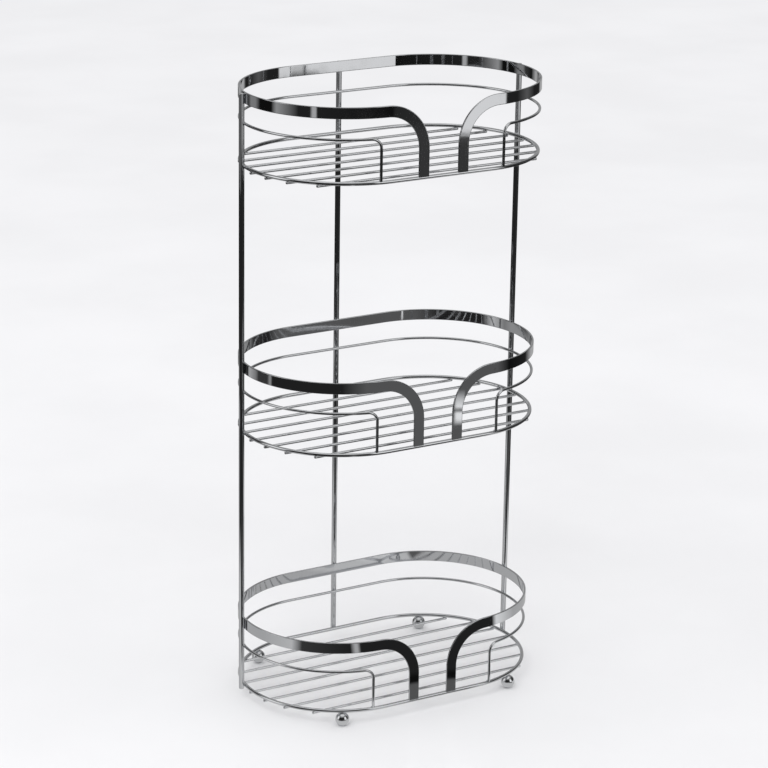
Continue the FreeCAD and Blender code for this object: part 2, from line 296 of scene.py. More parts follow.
@dataclass(frozen=True)
class Plan:
    """The plan of a basket: two straight sides joined by two half circles.

    Attributes:
        straight: Half the length of a straight side.
        depth: Radius of the round ends.
        middle: Y of the plan's centre.
    """

    straight: float
    depth: float
    middle: float

    STEP: ClassVar[float] = 0.003

    @property
    def arc(self) -> float:
        """Length of one round end."""
        return np.pi * self.depth

    @property
    def perimeter(self) -> float:
        """Length of the whole plan."""
        return 4.0 * self.straight + 2.0 * self.arc

    def widened(self, outward: float) -> "Plan":
        """The same plan further out by a distance."""
        return Plan(self.straight, self.depth + outward, self.middle)

    def at(self, along: Array, outward: Union[Array, float] = 0.0) -> tuple[Array, Array]:
        """Find points of the plan by their distance along it.

        The distance starts at the middle of the front and goes round by the right-hand end. The normal
        turns by the length spent on round ends divided by their radius. The point is a centre that slides
        along X by the length spent on straight sides, plus (depth + outward) times the normal.

        Args:
            along: Distances along the plan.
            outward: Distance outside the plan, for each point or for all.

        Returns:
            The points at z = 0 and the unit normals, in the shape of along with x, y and z last.
        """
        s = np.mod(along, self.perimeter)
        right, left = self.straight, 3.0 * self.straight + self.arc
        turned = np.clip(s - right, 0.0, self.arc) + np.clip(s - left, 0.0, self.arc)
        angle = turned / self.depth - np.pi / 2.0
        slide = np.clip(s, 0.0, self.straight)
        slide = slide - np.clip(s - right - self.arc, 0.0, 2.0 * self.straight)
        slide = slide + np.clip(s - left - self.arc, 0.0, self.straight)
        normal = np.stack([np.cos(angle), np.sin(angle), np.zeros_like(angle)], axis=-1)
        centre = np.stack([slide, np.full_like(slide, self.middle), np.zeros_like(slide)], axis=-1)
        return centre + (self.depth + np.asarray(outward))[..., None] * normal, normal

    def stations(self, start: float, end: float) -> Array:
        """Distances along the plan from start to end, about a step apart, both ends included."""
        return np.linspace(start, end, math.ceil((end - start) / self.STEP) + 1)

    def along_at(self, x: float) -> float:
        """Distance along the plan at which its front right end has this x."""
        return self.straight + self.depth * math.asin((x - self.straight) / self.depth)

    def bearing(self, x: float, y: float) -> tuple[Array, Array]:
        """Point of the plan that is nearest to a place outside it, and its normal.

        Args:
            x: The place's x.
            y: The place's y.

        Returns:
            The point at z = 0 and the unit normal there.
        """
        centre = np.array([np.clip(x, -self.straight, self.straight), self.middle, 0.0])
        normal = np.array([x, y, 0.0]) - centre
        normal /= np.linalg.norm(normal)
        return centre + self.depth * normal, normal


def ball_points(polar: Array, sides: int) -> Array:
    """Work out points of a ball of radius 1.

    Point (i, j) is (sin p cos b, sin p sin b, cos p), where p is the polar angle of row i and b goes once
    round with j.

    Args:
        polar: A polar angle for each row.
        sides: How many points a row has.

    Returns:
        Points by row, column and axis.
    """
    p = polar[:, None]
    b = np.linspace(0.0, 2.0 * np.pi, sides, endpoint=False)[None, :]
    return np.stack(np.broadcast_arrays(np.sin(p) * np.cos(b), np.sin(p) * np.sin(b), np.cos(p)), axis=-1)


@dataclass(frozen=True)
class Bead:
    """A small weld between two wires: a flattened ball, part of it inside the metal that it joins.

    Attributes:
        centre: Where the two wires touch.
        normal: The direction in plan that its second size lies along.
        sizes: Half sizes along the plan, along the normal and upright.
    """

    centre: Array
    normal: Array
    sizes: Triple

    ROWS: ClassVar[int] = 11
    SIDES: ClassVar[int] = 20
    POLE: ClassVar[float] = math.radians(9.0)

    def surface(self) -> Shell:
        """Work out the bead's surface.

        Its points are those of a ball, times the three half sizes along the plan, the normal and Z.

        Returns:
            The bead's surface.
        """
        ball = ball_points(np.linspace(self.POLE, np.pi - self.POLE, self.ROWS), self.SIDES)
        axes = np.stack([np.cross(UP, self.normal), self.normal, UP])
        return Shell.from_grid(self.centre + (ball * np.array(self.sizes)) @ axes)

    def mirrored(self) -> "Bead":
        """The same weld on the other side of the caddy."""
        return Bead(self.centre * MIRROR_X, self.normal * MIRROR_X, self.sizes)


class Term:
    """A number in a shader graph. Operators on it add Math nodes."""

    def __init__(self, graph: "Graph", socket: bpy.types.NodeSocket) -> None:
        """Wrap an output socket of a graph."""
        self.graph = graph
        self.socket = socket

    def _math(self, operation: str, first: "Value", second: "Value") -> "Term":
        """Add a Math node and wrap its output."""
        return self.graph.number("ShaderNodeMath", {"operation": operation}, {0: first, 1: second})

    def __add__(self, other: "Value") -> "Term":
        """This plus another."""
        return self._math("ADD", self, other)

    def __rsub__(self, other: "Value") -> "Term":
        """Another minus this."""
        return self._math("SUBTRACT", other, self)

    def __mul__(self, other: "Value") -> "Term":
        """This times another."""
        return self._math("MULTIPLY", self, other)

    __radd__ = __add__
    __rmul__ = __mul__

    def fade(self, low: float, high: float) -> "Term":
        """A smooth step from 0 at low to 1 at high."""
        inputs = {"Value": self, "From Min": low, "From Max": high}
        return self.graph.number("ShaderNodeMapRange", {"interpolation_type": "SMOOTHSTEP"}, inputs)


Value = Union[Term, bpy.types.NodeSocket, float, Sequence[float]]
Settings = Mapping[str, object]
Inputs = Mapping[Union[int, str], Value]


class Graph:
    """The node tree of a material or of the world."""

    MIX_A: ClassVar[int] = 6
    MIX_B: ClassVar[int] = 7
    MIX_RESULT: ClassVar[int] = 2

    def __init__(self, owner: Union[bpy.types.Material, bpy.types.World]) -> None:
        """Empty the owner's tree and keep it."""
        owner.use_nodes = True
        self.tree = owner.node_tree
        self.tree.nodes.clear()

    def node(self, kind: str, settings: Settings, inputs: Inputs) -> bpy.types.Node:
        """Add a node.

        Args:
            kind: The node's type.
            settings: Its properties, set first.
            inputs: Values or links for its sockets, by number or name.

        Returns:
            The node.
        """
        node = self.tree.nodes.new(kind)
        for name, setting in settings.items():
            setattr(node, name, setting)
        for key, value in inputs.items():
            source = value.socket if isinstance(value, Term) else value
            if isinstance(source, bpy.types.NodeSocket):
                self.tree.links.new(source, node.inputs[key])
            else:
                node.inputs[key].default_value = source
        return node

    def number(self, kind: str, settings: Settings, inputs: Inputs, output: Union[int, str] = 0) -> Term:
        """Add a node and wrap one of its outputs, given by number or name."""
        return Term(self, self.node(kind, settings, inputs).outputs[output])

    def noise(self, vector: bpy.types.NodeSocket, pitch: Triple, detail: float = 1.0) -> Term:
        """Cloudy noise whose lumps have the given sizes along the vector's three axes.

        Args:
            vector: The coordinates in metres.
            pitch: The lumps' size along each axis.
            detail: How many finer layers are added.

        Returns:
            The noise, about 0.5 on average.
        """
        scale = tuple(1.0 / size for size in pitch)
        mapping = {"Vector": vector, "Scale": scale}
        stretched = self.node("ShaderNodeMapping", {"vector_type": "POINT"}, mapping)
        inputs = {"Vector": stretched.outputs[0], "Scale": 1.0, "Detail": detail}
        return self.number("ShaderNodeTexNoise", {"noise_dimensions": "3D"}, inputs)

    def blend(self, factor: Term, first: Triple, second: Triple) -> bpy.types.NodeSocket:
        """Mix two colours, where the factor is 0 for the first and 1 for the second."""
        inputs = {0: factor, self.MIX_A: (*first, 1.0), self.MIX_B: (*second, 1.0)}
        return self.node("ShaderNodeMix", {"data_type": "RGBA"}, inputs).outputs[self.MIX_RESULT]

    def output(self, kind: str, surface: bpy.types.Node) -> None:
        """Lead a shader node into the tree's output node."""
        self.node(kind, {}, {"Surface": surface.outputs[0]})


@dataclass(frozen=True)
class Chrome:
    """Bright chrome plate over steel.

    Attributes:
        name: The material's name.
        slot: The record's slot that gives its colour.
        polish: Roughness of the clean plate.
        line_pitch: Size of the polishing lines along the piece and around it.
        line_height: How deep they are.
        line_haze: Roughness that they add.
        wave_pitch: Size of the slow unevenness of the steel under the plate, along and around.
        wave_height: How high it is.
        film_haze: Roughness that a thin dried film adds in patches.
    """

    name: str
    slot: Slot
    polish: float
    line_pitch: Pair
    line_height: float
    line_haze: float
    wave_pitch: Pair
    wave_height: float
    film_haze: float = 0.035

    LINE_DETAIL: ClassVar[float] = 2.0
    PEEL_PITCH: ClassVar[float] = 0.0016
    PEEL_HEIGHT: ClassVar[float] = 0.0000012
    FILM_PITCH: ClassVar[float] = 0.030
    FILM_DETAIL: ClassVar[float] = 4.0
    FILM_EDGE: ClassVar[Pair] = (0.48, 0.72)
    FILM_DULL: ClassVar[float] = 0.35
    FILM_COLOUR: ClassVar[Triple] = (0.64, 0.645, 0.65)
    DROP_PITCH: ClassVar[float] = 0.014
    DROP_EDGE: ClassVar[Pair] = (0.11, 0.16)
    DROP_SHARE: ClassVar[Pair] = (0.80, 0.82)
    DROP_HAZE: ClassVar[float] = 0.06
    DROP_DULL: ClassVar[float] = 0.4

    def material(self) -> bpy.types.Material:
        """Make the material.

        Fine lines follow the piece's length, slow waves bend the reflections, a grain as fine as the skin
        of an orange lies in the plate, and thin patches of film and a few dried drops dull it.

        Returns:
            The material.
        """
        material = bpy.data.materials.new(self.name)
        graph = Graph(material)
        draw = graph.node("ShaderNodeUVMap", {"uv_map": UV_NAME}, {}).outputs["UV"]
        place = graph.node("ShaderNodeTexCoord", {}, {}).outputs["Object"]
        lines = graph.noise(draw, (*self.line_pitch, 1.0), self.LINE_DETAIL)
        waves = graph.noise(draw, (*self.wave_pitch, 1.0))
        peel = graph.noise(place, (self.PEEL_PITCH,) * 3)
        film = graph.noise(place, (self.FILM_PITCH,) * 3, self.FILM_DETAIL).fade(*self.FILM_EDGE)
        cells = graph.node("ShaderNodeTexVoronoi", {"feature": "F1"},
                           {"Vector": place, "Scale": 1.0 / self.DROP_PITCH})
        chance = graph.number("ShaderNodeSeparateColor", {}, {0: cells.outputs["Color"]})
        inside = 1.0 - Term(graph, cells.outputs["Distance"]).fade(*self.DROP_EDGE)
        drops = inside * chance.fade(*self.DROP_SHARE)
        dull = film * self.FILM_DULL + drops * self.DROP_DULL
        height = lines * self.line_height + waves * self.wave_height + peel * self.PEEL_HEIGHT
        bump = graph.node("ShaderNodeBump", {}, {"Strength": 1.0, "Distance": 1.0, "Height": height})
        roughness = lines * self.line_haze + film * self.film_haze + drops * self.DROP_HAZE + self.polish
        shader = graph.node("ShaderNodeBsdfPrincipled", {}, {
            "Base Color": graph.blend(dull, self.slot.tint, self.FILM_COLOUR),
            "Metallic": 1.0,
            "Roughness": roughness,
            "Normal": bump.outputs[0],
        })
        graph.output("ShaderNodeOutputMaterial", shader)
        return material


DRAWN_WIRE = Chrome(
    "chrome_drawn_wire", Slot.WIRE, polish=0.035, line_pitch=(0.040, 0.0005), line_height=4e-7,
    line_haze=0.02, wave_pitch=(0.080, 0.006), wave_height=2e-6,
)
ROLLED_STRIP = Chrome(
    "chrome_rolled_strip", Slot.BAND, polish=0.03, line_pitch=(0.060, 0.0004), line_height=3e-7,
    line_haze=0.02, wave_pitch=(0.009, 0.030), wave_height=1.6e-5,
)
SPUN_BALL = Chrome(
    "chrome_spun_ball", Slot.BALL, polish=0.03, line_pitch=(0.0006, 0.020), line_height=3e-7,
    line_haze=0.015, wave_pitch=(0.004, 0.004), wave_height=2e-6,
)
WELD_BEAD = Chrome(
    "chrome_weld_bead", Slot.WIRE, polish=0.10, line_pitch=(0.0007, 0.0007), line_height=1.2e-5,
    line_haze=0.06, wave_pitch=(0.002, 0.002), wave_height=4e-5,
)


class SubAssembly(ABC):
    """A group of pieces that are built and dressed together."""

    _materials: ClassVar[dict[str, bpy.types.Material]] = {}

    @abstractmethod
    def build(self) -> None:
        """Make the pieces of this group."""

    def dress(self, item: bpy.types.Object, finish: Chrome) -> None:
        """Give a piece its finish, whose colour comes from the record's slot.

        Args:
            item: The piece.
            finish: Its finish.
        """
        if finish.name not in self._materials:
            self._materials[finish.name] = finish.material()
        item.data.materials.append(self._materials[finish.name])

    def place(self, name: str, shell: Shell, finish: Chrome, node: str = "") -> None:
        """Make one piece, dress it and fix it to the caddy.

        Args:
            name: The piece's name.
            shell: Its surface.
            finish: Its finish.
            node: The CAD node that it stands for, if any.
        """
        item = shell.to_object(name)
        self.dress(item, finish)
        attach(item, BODY)
        if node:
            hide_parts(node)
        LOG.info("%s: %d points, %d faces", name, len(shell.points), len(shell.quads) + len(shell.caps))


@dataclass
class Rail:
    """A basket's middle rail, whose two front ends bend down to the rim.

    Attributes:
        radius: The wire's radius.
        turn_x: X at which the wire leaves its plan.
        bend: Radius of the bend, in the upright plane along the wire.
        seat: Height of the feet above the rim's centre.
        end_round: Radius of the edge of its cut ends.
    """

    radius: float = 0.0015
    turn_x: float = 0.083
    bend: float = 0.010
    seat: float = 0.0012
    end_round: float = 0.0003

    BEND_ROWS: ClassVar[int] = 12
    LEG_SHARES: ClassVar[Triple] = (0.0, 0.3, 0.9)

    def line(self, plan: Plan, height: float, rim_height: float) -> Line:
        """Draw the rail's centre line.

        The wire goes up its right leg and round a quarter circle on to its plan, round the plan, and down
        again by the mirror image of that end. At the angle g of the bend it stands bend times sin g before
        the plan's point and bend times (1 - cos g) below it.

        Args:
            plan: The rail's plan.
            height: Height of its run.
            rim_height: Height of the rim's centre.

        Returns:
            The centre line.
        """
        start = plan.along_at(self.turn_x)
        corner, normal = plan.at(np.array([start]))
        tangent = np.cross(UP, normal[0])
        swing = np.linspace(np.pi / 2.0, 0.0, self.BEND_ROWS)[:, None]
        rise = UP * (height - self.bend * (1.0 - np.cos(swing)))
        bend = corner[0] - self.bend * np.sin(swing) * tangent + rise
        foot = bend[0] * np.array([1.0, 1.0, 0.0]) + UP * (rim_height + self.seat)
        share = np.array(self.LEG_SHARES)[:, None]
        leg = (1.0 - share) * foot + share * bend[0]
        right = np.concatenate([leg, bend])
        run, run_normals = plan.at(plan.stations(start, plan.perimeter - start)[1:-1])
        right_across = np.tile(normal[0], (len(right), 1))
        points = np.concatenate([right, run + UP * height, right[::-1] * MIRROR_X])
        across = np.concatenate([right_across, run_normals, right_across * MIRROR_X])
        return Line(points, across)


@dataclass
class Band:
    """A basket's guard band: a flat strip whose two front ends sweep down edgewise to the rim.

    Attributes:
        width: The strip's width.
        thickness: Its thickness.
        corner: Radius of its four long edges.
        leg: Distance of each leg from the middle of the front.
        sweep: Radius of the quarter circle from leg to run.
        seat: Height of the feet above the rim's centre.
    """

    width: float = 0.012
    thickness: float = 0.002
    corner: float = 0.00045
    leg: float = 0.0235
    sweep: float = 0.0425
    seat: float = 0.0008

    CORNER_ROWS: ClassVar[int] = 5
    SWEEP_ROWS: ClassVar[int] = 33
    LEG_ROWS: ClassVar[int] = 5
    FOOT_EDGE: ClassVar[float] = 0.0002

    def section(self) -> Array:
        """Outline the strip's section.

        Each edge is a quarter circle. A further point on either side of it, half a corner radius along the
        flat, keeps the flats flat under smooth shading. The other three edges are mirror images.

        Returns:
            Places across the strip and through it, once round.
        """
        half = np.array([self.width, self.thickness]) / 2.0
        angle = np.linspace(0.0, np.pi / 2.0, self.CORNER_ROWS)
        edge = half - self.corner + self.corner * np.stack([np.cos(angle), np.sin(angle)], axis=1)
        support = self.corner / 2.0
        edge = np.concatenate([edge[:1] - [0.0, support], edge, edge[-1:] - [support, 0.0]])
        return np.concatenate([edge, edge[::-1] * [-1, 1], edge * [-1, -1], edge[::-1] * [1, -1]])

    def surface(self, plan: Plan, height: float, rim_height: float) -> Shell:
        """Carry the section along the band's centre line on the unrolled wall.

        The wall that stands on the plan is unrolled to a flat sheet with the axes along and height. There
        the centre line is a leg, a quarter circle, the long run, a quarter circle and a leg. With the
        heading h, the quarter circles are sweep times (-sin h, cos h) from their centres, and the line's
        normal on the sheet is (sin h, -cos h). A section point moves by its first place along that normal
        and by its second along the plan's normal, and the sheet is then rolled back on to the plan.

        Args:
            plan: The plan of the strip's middle.
            height: Height of its run.
            rim_height: Height of the rim's centre.

        Returns:
            The strip's surface.
        """
        centre, base = self.leg + self.sweep, height - self.sweep
        foot = rim_height + self.seat
        leg_rise = np.concatenate([[foot], np.linspace(foot + self.FOOT_EDGE, base, self.LEG_ROWS)[:-1]])
        swing = np.linspace(np.pi / 2.0, 0.0, self.SWEEP_ROWS)
        run = plan.stations(centre, plan.perimeter - centre)[1:-1]
        end = plan.perimeter
        upright = np.full(len(leg_rise), np.pi / 2.0)
        heading = np.concatenate([upright, swing, np.zeros(len(run)), -swing[::-1], -upright])
        sweep_along = centre - self.sweep * np.sin(swing)
        sweep_rise = base + self.sweep * np.cos(swing)
        leg_along = np.full(len(leg_rise), self.leg)
        along = np.concatenate([leg_along, sweep_along, run, end - sweep_along[::-1], end - leg_along])
        level = np.full(len(run), height)
        rise = np.concatenate([leg_rise, sweep_rise, level, sweep_rise[::-1], leg_rise[::-1]])
        across, through = self.section().T
        sheet_along = along[:, None] + across * np.sin(heading)[:, None]
        sheet_rise = rise[:, None] - across * np.cos(heading)[:, None]
        points, _ = plan.at(sheet_along, np.broadcast_to(through, sheet_along.shape))
        return Shell.from_grid(points + sheet_rise[..., None] * UP)


@dataclass
class Basket(SubAssembly):
    """One basket: its rim, middle rail, guard band, floor wires and their welds.

    Attributes:
        tier: Which basket it is.
        rail: The rail's own sizes.
        band: The band's own sizes.
        cut_round: How far the cut ends of the floor wires are rounded, as a share of their radius.
    """

    tier: Tier
    rail: Rail = field(default_factory=Rail)
    band: Band = field(default_factory=Band)
    cut_round: float = 0.6

    FLOOR_WELD: ClassVar[Triple] = (0.0019, 0.0018, 0.0008)
    RIM_WELD: ClassVar[Triple] = (0.0019, 0.0009, 0.0019)
    RAIL_WELD: ClassVar[Triple] = (0.0016, 0.0008, 0.0016)
    BAND_WELD: ClassVar[Triple] = (0.0015, 0.0007, 0.0053)
    LEG_WELD: ClassVar[Triple] = (0.0020, 0.0018, 0.0008)
    STRIP_WELD: ClassVar[Triple] = (0.0062, 0.00095, 0.0012)

    def __post_init__(self) -> None:
        """Work out the sizes that the frame gives."""
        low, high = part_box(self.node("rim"))
        self.rim_radius = (high.z - low.z) / 2.0
        self.rim_height = (high.z + low.z) / 2.0
        depth = (high.y - low.y) / 2.0 - self.rim_radius
        straight = (high.x - low.x) / 2.0 - self.rim_radius - depth
        self.plan = Plan(straight, depth, (high.y + low.y) / 2.0)
        back = self.plan.middle + depth
        rail_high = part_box(self.node("rail"))[1]
        self.rail_height = rail_high.z - self.rail.radius
        self.rail_plan = self.plan.widened(rail_high.y - self.rail.radius - back)
        band_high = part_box(self.node("band"))[1]
        self.band_height = band_high.z - self.band.width / 2.0
        self.band_plan = self.plan.widened(band_high.y - self.band.thickness / 2.0 - back)

    def node(self, part: str) -> str:
        """Name of one of this basket's CAD nodes."""
        return f"{self.tier.value}_{part}"

    def floor_nodes(self) -> list[str]:
        """Names of this basket's floor wires, from the front to the back."""
        return sorted(name for name in frame["nodes"] if name.startswith(self.node("floor_wire_")))

    def build(self) -> None:
        """Make the rim, rail, band, floor wires and welds."""
        points, normals = self.plan.at(self.plan.stations(0.0, self.plan.perimeter)[:-1])
        rim = Line(points + UP * self.rim_height, normals, ring=True)
        self.place(self.node("rim_wire"), rim.tube(self.rim_radius), DRAWN_WIRE, self.node("rim"))
        rail = self.rail.line(self.rail_plan, self.rail_height, self.rim_height)
        rail_shell = rail.tube(self.rail.radius, self.rail.end_round)
        self.place(self.node("rail_wire"), rail_shell, DRAWN_WIRE, self.node("rail"))
        band = self.band.surface(self.band_plan, self.band_height, self.rim_height)
        self.place(self.node("band_strip"), band, ROLLED_STRIP, self.node("band"))
        beads = self.upright_welds() + self.post_welds()
        for name in self.floor_nodes():
            beads += self.floor_wire(name)
        self.place(self.node("welds"), Shell.joined([bead.surface() for bead in beads]), WELD_BEAD)

    def floor_wire(self, name: str) -> list[Bead]:
        """Make one floor wire.

        Args:
            name: Its CAD node.

        Returns:
            The two welds that hold it under the rim.
        """
        low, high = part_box(name)
        radius = (high.y - low.y) / 2.0
        y, z = (low.y + high.y) / 2.0, low.z + radius
        line = Line.straight((low.x, y, z), (high.x, y, z), (0.0, -1.0, 0.0))
        self.place(f"{name}_rod", line.tube(radius, self.cut_round * radius), DRAWN_WIRE, name)
        reach = math.sqrt(self.plan.depth ** 2 - (y - self.plan.middle) ** 2)
        normal = np.array([reach, y - self.plan.middle, 0.0]) / self.plan.depth
        between = (z + radius + self.rim_height - self.rim_radius) / 2.0
        right = Bead(np.array([self.plan.straight + reach, y, between]), normal, self.FLOOR_WELD)
        return [right, right.mirrored()]

    def upright_welds(self) -> list[Bead]:
        """The welds under the feet of the rail and of the band."""
        top = UP * (self.rim_height + self.rim_radius)
        rail_foot = self.rail.line(self.rail_plan, self.rail_height, self.rim_height).points[0]
        rail_seat, rail_normal = self.plan.bearing(rail_foot[0], rail_foot[1])
        band_foot, band_normal = self.band_plan.at(np.array([self.band.leg]))
        feet = [(rail_seat, rail_normal, self.LEG_WELD), (band_foot[0], band_normal[0], self.STRIP_WELD)]
        right = [Bead(point + top, normal, sizes) for point, normal, sizes in feet]
        return right + [bead.mirrored() for bead in right]

    def post_welds(self) -> list[Bead]:
        """The welds of the rim, the rail and the band on the three posts."""
        outside = self.band_plan.widened(self.band.thickness / 2.0)
        levels = (
            (self.rim_height, self.RIM_WELD),
            (self.rail_height, self.RAIL_WELD),
            (self.band_height, self.BAND_WELD),
        )
        beads = []
        for post in Posts.NODES:
            touch, normal = outside.bearing(*plan_centre(post))
            beads += [Bead(touch + UP * height, normal, sizes) for height, sizes in levels]
        return beads


@dataclass
class Posts(SubAssembly):
    """The three posts.

    Attributes:
        end_round: Radius of the edge of their cut ends.
    """

    end_round: float = 0.0011

    NODES: ClassVar[tuple[str, ...]] = ("left_post", "right_post", "back_post")

    def build(self) -> None:
        """Make the three posts."""
        for name in self.NODES:
            low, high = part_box(name)
            x, y = plan_centre(name)
            line = Line.straight((x, y, low.z), (x, y, high.z), (1.0, 0.0, 0.0))
            radius = min(high.x - low.x, high.y - low.y) / 2.0
            self.place(f"{name}_rod", line.tube(radius, self.end_round), DRAWN_WIRE, name)


@dataclass
class Feet(SubAssembly):
    """The four ball feet and their welds.

    Attributes:
        flat: How much of the ball is missing where it rests.
        weld: Half sizes of the weld on the rim.
    """

    flat: float = 0.0004
    weld: Triple = (0.0024, 0.0017, 0.0008)

    NODES: ClassVar[tuple[str, ...]] = (
        "front_left_foot", "front_right_foot", "back_left_foot", "back_right_foot",
    )
    ROWS: ClassVar[int] = 49
    SIDES: ClassVar[int] = 72
    POLE: ClassVar[float] = math.radians(1.5)

    def build(self) -> None:
        """Make the balls and the welds above them."""
        plan, rim_low = Basket(Tier.BOTTOM).plan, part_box("bottom_rim")[0].z
        beads = []
        for name in self.NODES:
            low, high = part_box(name)
            middle = np.array([*plan_centre(name), 0.0])
            self.place(f"{name}_ball", self.ball(middle, (high.x - low.x) / 2.0), SPUN_BALL, name)
            beads.append(Bead(middle + UP * rim_low, plan.bearing(middle[0], middle[1])[1], self.weld))
        self.place("feet_welds", Shell.joined([bead.surface() for bead in beads]), WELD_BEAD)

    def ball(self, middle: Array, radius: float) -> Shell:
        """Work out a ball with a small flat under it.

        Its rows run from the edge of the flat, where cos p is -(radius - flat) / radius, to near the top.

        Args:
            middle: The point on the floor under its centre.
            radius: Its radius.

        Returns:
            The ball's surface.
        """
        edge = math.acos(self.flat / radius - 1.0)
        ball = ball_points(np.linspace(edge, self.POLE, self.ROWS), self.SIDES)
        return Shell.from_grid(middle + UP * (radius - self.flat) + radius * ball)


Stops = tuple[tuple[float, Tone], ...]
Ring = tuple[float, float, Stops]


@dataclass(frozen=True)
class Row:
    """One row of a screen.

    Attributes:
        distance: How far from the caddy's middle it runs.
        height: How high.
        stops: Bearings in degrees from +X towards +Y, each with its tone, which changes evenly in between.
    """

    distance: float
    height: float
    stops: Stops


@dataclass(frozen=True)
class Screen:
    """A sheet of painted reflections, bent around the caddy, that only shows in the chrome and only on its
    inner side.

    Attributes:
        name: Its name.
        rows: Its rows, from the nearest or lowest on.
        bearings: Where it starts and ends, in degrees.
        step: How far apart its columns are, in degrees.
    """

    name: str
    rows: tuple[Row, ...]
    bearings: Pair = (-180.0, 180.0)
    step: float = 1.0

    TURN: ClassVar[float] = 360.0

    def grid(self) -> tuple[Array, Array]:
        """Work out the screen's points and tones.

        A point of a row has the bearing b, and x and y are the row's distance times cos b and sin b. Its
        tone is read off the row's stops at b, going once round.

        Returns:
            Points by row, column and axis, and tones by row and column.
        """
        columns = round((self.bearings[1] - self.bearings[0]) / self.step) + 1
        degrees = np.linspace(*self.bearings, columns)
        bearing = np.radians(degrees)
        distance = np.array([row.distance for row in self.rows])[:, None]
        height = np.array([row.height for row in self.rows])[:, None]
        points = np.broadcast_arrays(distance * np.cos(bearing), distance * np.sin(bearing), height)
        tones = [
            np.interp(degrees, *zip(*((turn, tone.value) for turn, tone in row.stops)), period=self.TURN)
            for row in self.rows
        ]
        return np.stack(points, axis=-1), np.stack(tones)


@dataclass(frozen=True)
class Softbox:
    """A rectangular lamp.

    Attributes:
        name: The lamp's name.
        place: Where it hangs.
        target: What it points at.
        size: Its width and height.
        watts: Its power.
    """

    name: str
    place: Triple
    target: Triple
    size: Pair
    watts: float

    def build(self) -> None:
        """Hang the lamp."""
        lamp = bpy.data.lights.new(self.name, "AREA")
        lamp.shape = "RECTANGLE"
        lamp.size, lamp.size_y = self.size
        lamp.energy = self.watts
        item = new_object(self.name, lamp)
        item.location = self.place
        item.rotation_euler = (Vector(self.target) - item.location).to_track_quat("-Z", "Y").to_euler()
        item.visible_camera = False
        item.visible_glossy = False


@dataclass(frozen=True)
class PhotoCamera:
    """The camera at the photograph's place.

    Attributes:
        place: Where it stands.
        yaw: Degrees that it is turned from +Y towards +X.
        pitch: Degrees that it looks down.
        roll: Degrees that it is tilted.
        focal: Focal length in pixels of the photograph.
        pixels: The photograph's width.
    """

    place: Triple = (-1.5258, -2.5795, 1.3132)
    yaw: float = 30.58
    pitch: float = 17.99
    roll: float = 0.91
    focal: float = 2915.0
    pixels: float = 768.0

    SENSOR: ClassVar[float] = 36.0
    FAR: ClassVar[float] = 200.0

    def build(self) -> None:
        """Set the camera up and make it the scene's."""
        data = bpy.data.cameras.new("camera")
        data.sensor_width = self.SENSOR
        data.lens = self.SENSOR * self.focal / self.pixels
        data.clip_end = self.FAR
        yaw, pitch, roll = (math.radians(angle) for angle in (self.yaw, self.pitch, self.roll))
        level_out = math.cos(pitch)
        forward = Vector((math.sin(yaw) * level_out, math.cos(yaw) * level_out, -math.sin(pitch)))
        level = Vector((math.cos(yaw), -math.sin(yaw), 0.0))
        upright = level.cross(forward)
        right = math.cos(roll) * level + math.sin(roll) * upright
        up = math.cos(roll) * upright - math.sin(roll) * level
        camera = new_object("camera", data)
        axes = Matrix((right, up, -forward)).transposed().to_4x4()
        camera.matrix_world = Matrix.Translation(self.place) @ axes
        bpy.context.scene.camera = camera


